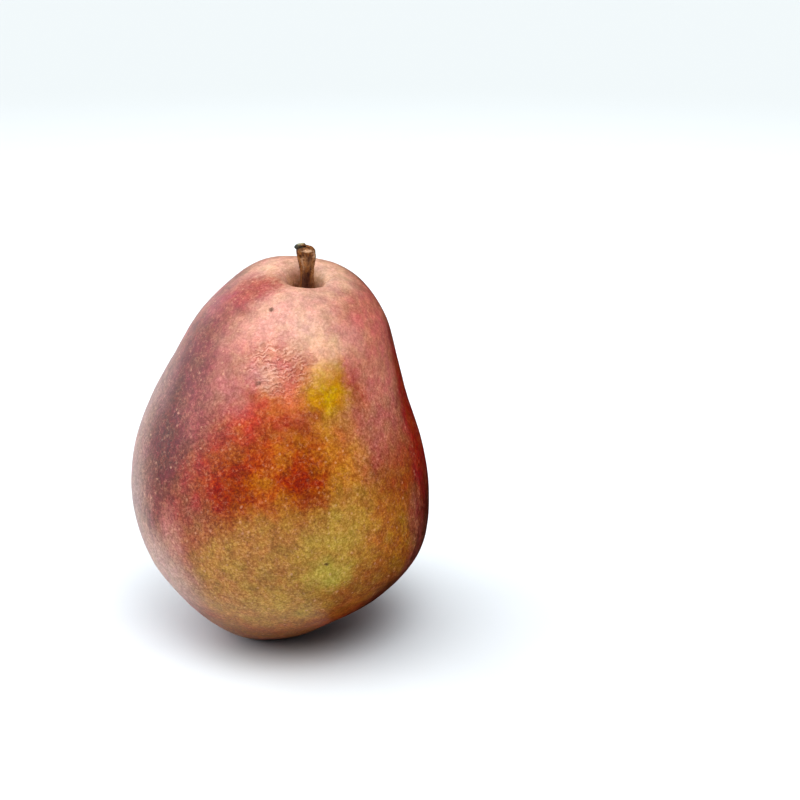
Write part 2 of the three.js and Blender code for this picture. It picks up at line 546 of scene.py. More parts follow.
@dataclass
class Fruit:
    """The fruit's skin, from the floor of the calyx basin to the floor of the stem cavity."""

    outline: tuple[Station, ...] = (
        Station(0, 6.0, -4.5),
        Station(3.0, 5.6, -4.5),
        Station(5.0, 3.2, -4.5),
        Station(7.0, 0, -4.5),
        Station(8.6, -0.25, -4.5),
        Station(11.8, 1.0, -4.4),
        Station(16.4, 3.7, -4.2),
        Station(22.2, 8.0, -3.2),
        Station(30.2, 15.0, -0.8),
        Station(37.0, 25.0, 0),
        Station(39.5, 39.0, -1.0),
        Station(37.9, 52.4, -1.4),
        Station(33.7, 64.8, -1.0),
        Station(28.9, 76.4, 0.7),
        Station(24.0, 87.2, 2.4),
        Station(17.4, 95.0, 3.8),
        Station(12.8, 97.8, 4.5),
        Station(9.0, 99.0, 4.8),
        Station(6.4, 98.7, 4.8),
        Station(4.8, 97.5, 4.8),
        Station(4.0, 95.8, 4.8),
        Station(3.5, 93.6, 4.8),
        Station(2.9, 92.2, 4.8),
        Station(0, 91.8, 4.8),
    )
    # The axis curves over by this angle, towards this azimuth, both in degrees, from this
    # height on and over this span, both in mm.
    lean_angle: float = 15.0
    lean_towards: float = -70.0
    lean_starts: float = 38.0
    lean_span: float = 62.0
    oval: Waves = Waves(2, 0.008, 70)
    flats: Waves = Waves(3, 0.006, 35)
    foot_lobes: Waves = Waves(5, 0.2, 20, 16, 5)
    crown_lobes: Waves = Waves(5, 0.15, 52, 22, 8)
    crown_top: float = 99.0
    rows: int = 300
    columns: int = 312
    # Rows lie closer together within this radius in mm, down to this share of the spacing.
    crowded_within: float = 14.0
    closest: float = 0.45
    # Rows, and degrees between columns, of the grids that find the middle and the patches.
    middle_grid: tuple[int, float] = (200, 2.0)
    patch_grid: tuple[int, float] = (240, 1.5)
    # The unevenness fades away below this height in mm, so that the foot stands flat.
    swells_above: float = 6.0
    swells: tuple[Swell, ...] = (Swell(0.112, 11, 3.1), Swell(0.035, 3.2, 8.7))
    crown_folds: Pucker = Pucker(7, 0.12, 5.5, 2.6, 13, 1.4, 2, 0.6, 0.12)
    basin_folds: Pucker = Pucker(10, 0.14, 4.2, 1.8, 8, 1.1, 3)
    dents: tuple[Dent, ...] = (
        Dent(172.2, 76.0, 1.3, 1.6, 0.5),
        Dent(-100.1, 78.4, 0.8, 0.7, 0.35),
        Dent(-97.0, 81.5, 4.5, 2.0, 0.22),
        Dent(-86.0, 77.0, 5.0, 1.6, 0.18),
        Dent(-104.0, 74.0, 3.5, 1.5, 0.15),
        Dent(-64.0, 97.7, 8.5, 3.2, -0.55),
        Dent(100.0, 98.8, 14.0, 5.0, -0.75),
        Dent(40.0, 58.0, 2.6, 3.4, 0.3),
        Dent(118.0, 33.0, 1.6, 1.2, 0.25),
    )
    shift: np.ndarray = field(init=False)
    outer_grid: np.ndarray = field(init=False)

    def __post_init__(self) -> None:
        """Finds the row's origin in the outline, and the grid that patches are placed on."""
        low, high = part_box("fruit")
        rows, step = self.middle_grid
        corners = self.plain(self.even_rows(rows), np.radians(np.arange(0, 360, step))).reshape(-1, 3)
        middle = (corners.min(0) + corners.max(0)) / 2
        centre = (low + high) / 2 / MM
        self.shift = np.array([centre.x - middle[0], centre.y - middle[1], 0.0])
        rows, step = self.patch_grid
        levels = self.even_rows(rows)
        outside = levels[int(np.argmin(levels[:, 2])) : int(np.argmax(levels[:, 2])) + 1]
        self.outer_grid = self.plain(outside, np.radians(np.arange(0, 360, step))) + self.shift

    def on_axis(self, station: Station) -> np.ndarray:
        """The middle of a level, where the fruit's curved axis passes, in mm."""
        return self.leaned(np.array([station.sway, 0.0, station.height])) + self.shift

    def even_rows(self, count: int) -> np.ndarray:
        """Rows of the outline, closer together in the cavity and the basin.

        Args:
            count: Number of rows.

        Returns:
            One row each, with its radius, sway and height in mm.
        """
        fine = smooth_rows(self.outline)
        return evened(fine, count, np.clip(fine[:, 0] / self.crowded_within, self.closest, 1))

    def plain(self, rows: np.ndarray, azimuth: np.ndarray) -> np.ndarray:
        """The skin without its fine relief, before it is centred.

        Args:
            rows: Rows of the outline.
            azimuth: Azimuths of the columns, in radians.

        Returns:
            A grid of points in mm.
        """
        radius, sway, height = (rows[:, k : k + 1] for k in range(3))
        out = radius * (1 + self.oval.at(azimuth) + self.flats.at(azimuth))
        rise = self.lobes(self.crown_lobes, self.crown_top - height, radius, azimuth)
        rise = rise - self.lobes(self.foot_lobes, height, radius, azimuth)
        return self.leaned(turned_grid(out, azimuth, np.maximum(height + rise, 0), sway))

    @staticmethod
    def lobes(waves: Waves, distance: np.ndarray, radius: np.ndarray, azimuth: np.ndarray) -> np.ndarray:
        """Height in mm of lobes that fade with the distance from their end of the fruit."""
        fade = np.maximum(0, 1 - distance / waves.fades) * np.minimum(1, radius / waves.within)
        return fade * waves.at(azimuth)

    def leaned(self, points: np.ndarray) -> np.ndarray:
        """Moves points of the upright fruit to where the curve of its axis takes them.

        Args:
            points: Points in mm.

        Returns:
            The moved points.
        """
        above = np.maximum(0, points[..., 2] - self.lean_starts)
        most = math.radians(self.lean_angle)
        turn = most * (above / self.lean_span) ** 2
        drift = most * above**3 / (3 * self.lean_span**2)
        towards = math.radians(self.lean_towards)
        side = np.array([math.cos(towards), math.sin(towards), 0])
        out = points @ side
        moved = points + (drift + out * (np.cos(turn) - 1))[..., None] * side
        moved[..., 2] -= out * np.sin(turn)
        return moved

    def point(self, spot: Patch | Dent) -> Vector:
        """The point of the skin that a patch or a dent is centred on.

        Args:
            spot: The patch or the dent, placed by azimuth and height from the row's axis.

        Returns:
            The point, in mm.
        """
        grid = self.outer_grid
        angle = np.degrees(np.arctan2(grid[..., 1], grid[..., 0]))
        turn = np.abs((angle - spot.azimuth + 180) % 360 - 180)
        miss = np.radians(turn) * np.hypot(grid[..., 0], grid[..., 1])
        nearest = np.argmin(np.hypot(miss, grid[..., 2] - spot.height))
        return Vector(grid.reshape(-1, 3)[nearest])

    def dented(self, dent: Dent, points: np.ndarray) -> np.ndarray:
        """How far a dent sinks the skin.

        Args:
            dent: The dent.
            points: Points of the skin, in mm.

        Returns:
            The depth at each point, in mm.
        """
        angle = math.radians(dent.azimuth)
        offset = points - np.array(self.point(dent))
        across = offset @ np.array([-math.sin(angle), math.cos(angle), 0])
        along_square = np.maximum((offset**2).sum(-1) - across**2, 0)
        return dent.depth * np.exp(-((across / dent.across) ** 2) - along_square / dent.along**2)

    def relief(
        self, points: np.ndarray, normals: np.ndarray, rows: np.ndarray, azimuth: np.ndarray
    ) -> np.ndarray:
        """The skin with its dents, its faint unevenness and the puckers at both ends.

        Args:
            points: The plain skin in mm.
            normals: Its outward normals.
            rows: Rows of the outline.
            azimuth: Azimuths of the columns, in radians.

        Returns:
            The grid of points with its relief.
        """
        height = points[..., 2]
        clear = np.clip(height / self.swells_above, 0, 1)
        depth = sum(swell.depth + swell.at(points) for swell in self.swells) * clear
        for dent in self.dents:
            depth += self.dented(dent, points)
        upper = rows[:, 2:] > self.crown_top / 2
        for pucker, end in ((self.crown_folds, upper), (self.basin_folds, ~upper)):
            depth += end * np.clip(height, 0, 1) * pucker.at(rows[:, :1], height, azimuth)
        return points - depth[..., None] * normals

    def build(self, material: bpy.types.Material) -> bpy.types.Object:
        """Makes the skin, which stands for the fruit's solid.

        Args:
            material: The skin's finish.

        Returns:
            The piece.
        """
        rows = self.even_rows(self.rows)
        azimuth = azimuths(self.columns)
        plain = self.plain(rows, azimuth) + self.shift
        points = self.relief(plain, grid_normals(plain), rows, azimuth)
        points[..., 2] = np.maximum(points[..., 2], 0)
        parts = MeshParts()
        parts.grid(points)
        piece = parts.make("pear_skin", material)
        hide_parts("fruit")
        return piece


@dataclass
class Stem:
    """The woody stem, thin in the middle and knobbly where it was picked off the spur."""

    outline: tuple[Station, ...] = (
        Station(0, -1.2, 0.2),
        Station(1.9, -1.1, 0.2),
        Station(2.1, 0.4, 0.2),
        Station(2.0, 0.9, 0.25),
        Station(1.85, 2.4, 0.5),
        Station(1.72, 4.9, 0.75),
        Station(1.77, 8.6, 0.8),
        Station(2.0, 10.3, 0.7),
        Station(2.28, 11.6, 0.6),
        Station(2.36, 12.8, 0.45),
        Station(2.22, 13.8, 0.3),
        Station(1.5, 14.35, 0.15),
        Station(0.8, 14.1, 0.1),
        Station(0, 13.9, 0.1),
    )
    # Lengthwise ridges: their number, their share of the radius and their turn for each mm.
    ridges: int = 5
    ridge_share: float = 0.06
    twist: float = 0.09
    rows: int = 190
    columns: int = 96
    # The bark is rough all the way from this radius in mm, and smoother within it.
    rough_from: float = 1.4
    swells: tuple[Swell, ...] = (Swell(0.09, 0.5, 2.2, 0.35), Swell(0.07, 1.1, 5.4))
    # Radius of the head in mm, on which the widths of the knobs are measured.
    head_radius: float = 2.1
    knobs: tuple[Dent, ...] = (
        Dent(-128, 11.9, 0.42, 0.42, 0.6),
        Dent(-60, 13.3, 0.9, 0.35, -0.16),
        Dent(-95, 12.2, 0.9, 0.7, 0.18),
        Dent(-75, 10.4, 0.5, 0.6, -0.14),
        Dent(-110, 9.6, 0.5, 0.5, -0.12),
        Dent(-20, 12.0, 0.5, 1.2, -0.15),
        Dent(150, 11.0, 0.8, 1.0, -0.2),
        Dent(60, 9.0, 0.6, 1.4, 0.16),
    )
    cap: Lump = Lump((1.5, 1.25, 0.72), (-0.85, -0.2, 14.4), -0.22, Swell(0.16, 0.7, 1.7))
    bud: Lump = Lump((0.62, 0.58, 0.42), (1.2, -0.85, 14.15), 0.3, Swell(0.16, 0.7, 6.3))

    def build(self, material: bpy.types.Material, foot: np.ndarray) -> bpy.types.Object:
        """Makes the stem, which stands for its solid.

        Args:
            material: The bark's finish.
            foot: Where the stem's axis meets the cavity floor, in mm.

        Returns:
            The piece.
        """
        rows = evened(smooth_rows(self.outline), self.rows)
        azimuth = azimuths(self.columns)
        radius, sway, height = (rows[:, k : k + 1] for k in range(3))
        ribs = self.ridge_share * np.cos(self.ridges * (azimuth - self.twist * height))
        points = turned_grid(radius * (1 + ribs), azimuth, height, sway)
        depth = -sum(swell.at(points) for swell in self.swells) * np.clip(radius / self.rough_from, 0, 1)
        for knob in self.knobs:
            turn = (azimuth - math.radians(knob.azimuth) + math.pi) % (2 * math.pi) - math.pi
            across, along = turn * self.head_radius / knob.across, (height - knob.height) / knob.along
            depth += knob.depth * np.exp(-(across**2 + along**2))
        parts = MeshParts()
        parts.grid(points - depth[..., None] * grid_normals(points) + foot)
        for lump in (self.cap, self.bud):
            parts.grid(lump.grid() + foot)
        piece = parts.make("pear_stem", material)
        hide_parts("stem")
        return piece

    def on_bark(self, patch: Patch, foot: np.ndarray) -> Vector:
        """The point of the bark that a patch is centred on, in mm.

        Args:
            patch: The patch, its height counted from the stem's foot.
            foot: Where the stem's axis meets the cavity floor, in mm.

        Returns:
            The point.
        """
        rising = self.outline[2:-2]
        levels = [s.height for s in rising]
        radius = float(np.interp(patch.height, levels, [s.radius for s in rising]))
        sway = float(np.interp(patch.height, levels, [s.sway for s in rising]))
        angle = math.radians(patch.azimuth)
        offset = (sway + radius * math.cos(angle), radius * math.sin(angle), patch.height)
        return Vector(foot) + Vector(offset)


def tube(line: np.ndarray, across: np.ndarray, through: np.ndarray, sides: int) -> np.ndarray:
    """A closed tube that hangs down along a line, oval in section.

    Args:
        line: Points of its middle line in mm, from the top down.
        across: Half its width along X, at each point.
        through: Half its thickness along Y, at each point.
        sides: Number of sides.

    Returns:
        A grid of points in mm, whose first and last rows are each one point.
    """
    angle = azimuths(sides)
    x = line[:, :1] + across[:, None] * np.cos(angle)
    y = line[:, 1:2] - through[:, None] * np.sin(angle)
    z = line[:, 2:3] + 0 * angle
    return np.stack([x, y, z], axis=-1)


@dataclass
class Calyx:
    """Dried remains of the flower: a small cup, five leathery sepals and withered stamens."""

    # The cup is open below, and its root is hidden in the flesh.
    cup_outline: tuple[Station, ...] = (
        Station(0, -0.3, 0),
        Station(1.14, -0.35, 0),
        Station(1.9, -0.55, 0),
        Station(1.9, -1.4, 0),
        Station(2.2, -1.5, 0),
        Station(2.5, -1.35, 0),
        Station(2.5, -0.9, 0),
        Station(1.9, -0.3, 0),
        Station(1.9, 1.0, 0),
        Station(0, 1.0, 0),
    )
    cup_waves: tuple[Waves, ...] = (Waves(5, 0.03, 0), Waves(13, 0.02, -4.4))
    cup_grid: tuple[int, int] = (40, 60)
    # A sepal hangs from this ring, from a little below its top, and gets thinner along its
    # length while it flares outwards and its tip curls up.
    sepals: int = 5
    sepal_grid: tuple[int, int] = (28, 24)
    sepal_ring: float = 2.2
    sepal_root: float = 1.0
    sepal_length: float = 4.3
    sepal_width: float = 2.6
    sepal_tip: float = 0.08
    sepal_bluntness: float = 1.6
    sepal_roundness: float = 14
    sepal_thickness: float = 0.45
    sepal_thinning: float = 0.5
    sepal_flare: float = 1.7
    flare_power: float = 1.5
    sepal_curl: float = 0.9
    curl_power: float = 3
    sepal_sway: float = 0.12
    sway_turn: float = 4
    sepal_cupping: float = 0.16
    sepal_crumple: Swell = Swell(0.09, 0.8, 3.0)
    stamens: int = 13
    stamen_grid: tuple[int, int] = (14, 8)
    stamen_ring: float = 0.95
    stamen_root: float = 0.3
    stamen_radius: float = 0.17
    stamen_length: float = 2.5
    stamen_tilt: float = 0.22
    stamen_bend: float = 0.25
    stamen_taper: float = 0.35
    stamen_roundness: float = 10
    # How far places and tilts scatter, and the turns in radians from one stamen to the next
    # of the waves that scatter their places, their tilts and their bends.
    place_scatter: float = 0.3
    tilt_scatter: float = 0.7
    scatter_turns: tuple[float, float, float] = (5.1, 3.7, 2.3)
    # The anther at a stamen's end: how much wider it is, where it is and how long, as shares.
    anther: tuple[float, float, float] = (0.7, 0.93, 0.06)

    def build(self, material: bpy.types.Material, foot: np.ndarray) -> bpy.types.Object:
        """Makes the calyx, which stands for its solid.

        Args:
            material: The finish of the dried leaves.
            foot: Where its axis meets the basin floor, in mm.

        Returns:
            The piece.
        """
        parts = MeshParts()
        parts.grid(self.cup() + foot)
        for index in range(self.sepals):
            turn = 2 * math.pi * index / self.sepals
            parts.grid(self.turned(self.sepal(index), turn) + foot)
        for index in range(self.stamens):
            place, tilt, bend = (math.sin(turn * index) for turn in self.scatter_turns)
            turn = 2 * math.pi * (index + self.place_scatter * place) / self.stamens
            parts.grid(self.turned(self.stamen(tilt, bend), turn) + foot)
        piece = parts.make("pear_calyx", material)
        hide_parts("calyx")
        return piece

    @staticmethod
    def turned(points: np.ndarray, angle: float) -> np.ndarray:
        """Turns points about the calyx's own axis.

        Args:
            points: The points.
            angle: The turn, in radians.

        Returns:
            The turned points.
        """
        cosine, sine = math.cos(angle), math.sin(angle)
        x = cosine * points[..., 0] - sine * points[..., 1]
        y = sine * points[..., 0] + cosine * points[..., 1]
        return np.stack([x, y, points[..., 2]], axis=-1)

    def cup(self) -> np.ndarray:
        """Lays a grid over the cup.

        Returns:
            A closed grid of points, in mm.
        """
        count, columns = self.cup_grid
        rows = evened(levels_of(self.cup_outline), count)
        azimuth = azimuths(columns)
        wavy = rows[:, :1] * (1 + sum(waves.at(azimuth) for waves in self.cup_waves))
        return turned_grid(wavy, azimuth, rows[:, 2:])

    def sepal(self, index: int) -> np.ndarray:
        """Lays a grid over a sepal, which hangs from the cup's edge and curls outwards.

        Args:
            index: Which sepal it is, from 0.

        Returns:
            A closed grid of points, in mm.
        """
        rows, sides = self.sepal_grid
        along = np.linspace(0, 1, rows)
        blunt = np.sqrt(1 - along**self.sepal_bluntness)
        width = self.sepal_width * (self.sepal_tip + (1 - self.sepal_tip) * blunt)
        thickness = self.sepal_thickness * (1 - self.sepal_thinning * along)
        side = self.sepal_sway * np.sin(self.sway_turn * along + index)
        out = self.sepal_ring + self.sepal_flare * along**self.flare_power
        drop = self.sepal_length * along - self.sepal_curl * along**self.curl_power
        line = np.stack([side, out, -self.sepal_root - drop], axis=-1)
        ends = self.rounded_ends(along, self.sepal_roundness)
        grid = tube(line, width / 2 * ends, thickness / 2 * ends, sides)
        across = grid[..., 0] - line[:, :1]
        grid[..., 1] -= self.sepal_cupping * across**2
        crumple = replace(self.sepal_crumple, seed=self.sepal_crumple.seed + index)
        grid[..., 1] += crumple.at(grid)
        return grid

    def stamen(self, tilted: float, bent: float) -> np.ndarray:
        """Lays a grid over a withered stamen of the tuft, which leans outwards.

        Args:
            tilted: Whether it leans more or less than most, from -1 to 1.
            bent: How far it bends sideways, from -1 to 1.

        Returns:
            A closed grid of points, in mm.
        """
        rows, sides = self.stamen_grid
        along = np.linspace(0, 1, rows)
        tilt = self.stamen_tilt * (1 + self.tilt_scatter * tilted)
        side = self.stamen_bend * bent * along**2
        out = self.stamen_ring + self.stamen_length * along * math.sin(tilt)
        drop = self.stamen_root + self.stamen_length * along * math.cos(tilt)
        swell, where, length = self.anther
        share = 1 - self.stamen_taper * along + swell * np.exp(-(((along - where) / length) ** 2))
        radius = self.stamen_radius * share * self.rounded_ends(along, self.stamen_roundness)
        return tube(np.stack([side, out, -drop], axis=-1), radius, radius, sides)

    @staticmethod
    def rounded_ends(along: np.ndarray, steepness: float) -> np.ndarray:
        """The share of its thickness that a tube has along its length, with both ends closed."""
        return np.minimum(1, np.minimum(along, 1 - along) * steepness)


@dataclass(frozen=True)
class Cloud:
    """A value that drifts over a surface in soft lumps.

    Attributes:
        size: Size of a lump, in mm.
        low: The value in the troughs.
        high: The value on the crests.
        trough: The noise, from 0 to 1, up to which it is low.
        crest: The noise from which it is high.
        detail: Number of finer sizes of lumps over the first.
    """

    size: float
    low: float = 0.0
    high: float = 1.0
    trough: float = 0.3
    crest: float = 0.7
    detail: float = 2.0

    def lumps(self, place: Socket) -> dict[str, Any]:
        """What a noise node takes in to draw the lumps alone.

        Args:
            place: The place that the noise is drawn at, in mm.

        Returns:
            The values of its inputs, by their names.
        """
        inputs = {"Vector": place, "Scale": 1 / self.size, "Detail": self.detail}
        return {**inputs, "Roughness": NOISE_ROUGHNESS}


@dataclass(frozen=True)
class Relief:
    """Relief too low for the mesh, which only the light shows.

    Attributes:
        height: Its height in mm, or minus its depth.
        strength: How much of it shows, from 0 to 1.
    """

    height: float
    strength: float = 1.0


class Painter:
    """Lays colours and relief over a surface, with every pattern measured in mm."""

    def __init__(self, name: str) -> None:
        """Starts an empty material.

        Args:
            name: Its name.
        """
        self.material = bpy.data.materials.new(name)
        self.material.use_nodes = True
        self.tree = self.material.node_tree
        self.tree.nodes.clear()
        own = self.node("TexCoord", {}, "Object")
        self.place = self.node("VectorMath", {0: own, "Scale": 1 / MM}, operation="SCALE")
        self.normal: dict[str, Socket] = {}

    def node(self, kind: str, inputs: Inputs, output: str | int = 0, **settings: Any) -> Socket:
        """Adds a node to the material and hands back one of its outputs."""
        return add(self.tree, kind, inputs, output, **settings)

    def cloud(self, cloud: Cloud, place: Socket | None = None) -> Socket:
        """The value of a cloud all over the surface.

        Args:
            cloud: The cloud.
            place: The place in mm, where it isn't the painter's own.

        Returns:
            The value.
        """
        lumps = self.node("TexNoise", cloud.lumps(place or self.place))
        levels = (lumps, cloud.trough, cloud.crest, cloud.low, cloud.high)
        return self.node("MapRange", levels, **EASED)

    def over(self, share: Value, under: Colour, tint: Tint | Colour, strength: float = 1.0) -> Socket:
        """A colour laid over another, with a share from 0 to 1.

        Args:
            share: The share of the upper colour.
            under: The lower colour.
            tint: The upper colour.
            strength: What the share is multiplied by.

        Returns:
            The mixed colour.
        """
        if strength != 1:
            share = self.node("Math", (share, strength), operation="MULTIPLY")
        upper = linear(tint.value) if isinstance(tint, Tint) else tint
        return self.node("Mix", {0: share, MIX_A: under, MIX_B: upper}, MIX_COLOUR, data_type="RGBA")

    def warped(self, place: Socket, *moves: tuple[float, float]) -> Socket:
        """A place moved about by noise, so that what is laid there wanders.

        Args:
            place: The place in mm.
            moves: The size of the lumps of each move and the width of its range, in mm.

        Returns:
            The moved place.
        """
        for size, reach in moves:
            move = self.node("TexNoise", Cloud(size, detail=3).lumps(place), "Color")
            centred = self.node("VectorMath", (move, (0.5, 0.5, 0.5)), operation="SUBTRACT")
            scaled = self.node("VectorMath", {0: centred, "Scale": reach}, operation="SCALE")
            place = self.node("VectorMath", (place, scaled), operation="ADD")
        return place

    def cover(self, patch: Patch, centre: Vector, place: Socket, grain: Socket) -> Socket:
        """How far a patch covers each point, from 0 to its strength.

        Args:
            patch: The patch.
            centre: Its middle, in mm.
            place: The place in mm, warped for an uneven edge.
            grain: Noise that breaks the edge up into grains.

        Returns:
            The cover.
        """
        inputs = {
            "Vector": place,
            "Location": tuple(centre),
            "Rotation": (math.radians(patch.slant), 0, math.radians(patch.azimuth)),
            "Scale": (max(patch.across, patch.along), patch.across, patch.along),
        }
        own = self.node("Mapping", inputs, vector_type="TEXTURE")
        distance = self.node("VectorMath", {0: own}, "Value", operation="LENGTH")
        ragged = min(EDGE_MOST, EDGE_GRAIN / min(patch.across, patch.along))
        edge = self.node("Math", (grain, ragged, distance), operation="MULTIPLY_ADD")
        levels = (edge, patch.core + ragged / 2, EDGE_REACH + ragged / 2, patch.strength, 0)
        return self.node("MapRange", levels, **EASED)

    def emboss(self, level: Socket, relief: Relief) -> None:
        """Raises or sinks the surface where a value is high, over what was embossed before."""
        inputs = {"Strength": relief.strength, "Distance": abs(relief.height) * MM, "Height": level}
        self.normal = {"Normal": self.node("Bump", inputs | self.normal, invert=relief.height < 0)}

    def finish(self, **sockets: Any) -> bpy.types.Material:
        """Ends the material in a principled shader.

        Args:
            sockets: Value or socket for each of the shader's inputs, by its name with
                underscores for spaces.

        Returns:
            The material.
        """
        inputs = {name.replace("_", " "): value for name, value in sockets.items()}
        shader = self.node("BsdfPrincipled", inputs | self.normal)
        output = self.tree.nodes.new("ShaderNodeOutputMaterial")
        self.tree.links.new(shader, output.inputs["Surface"])
        return self.material


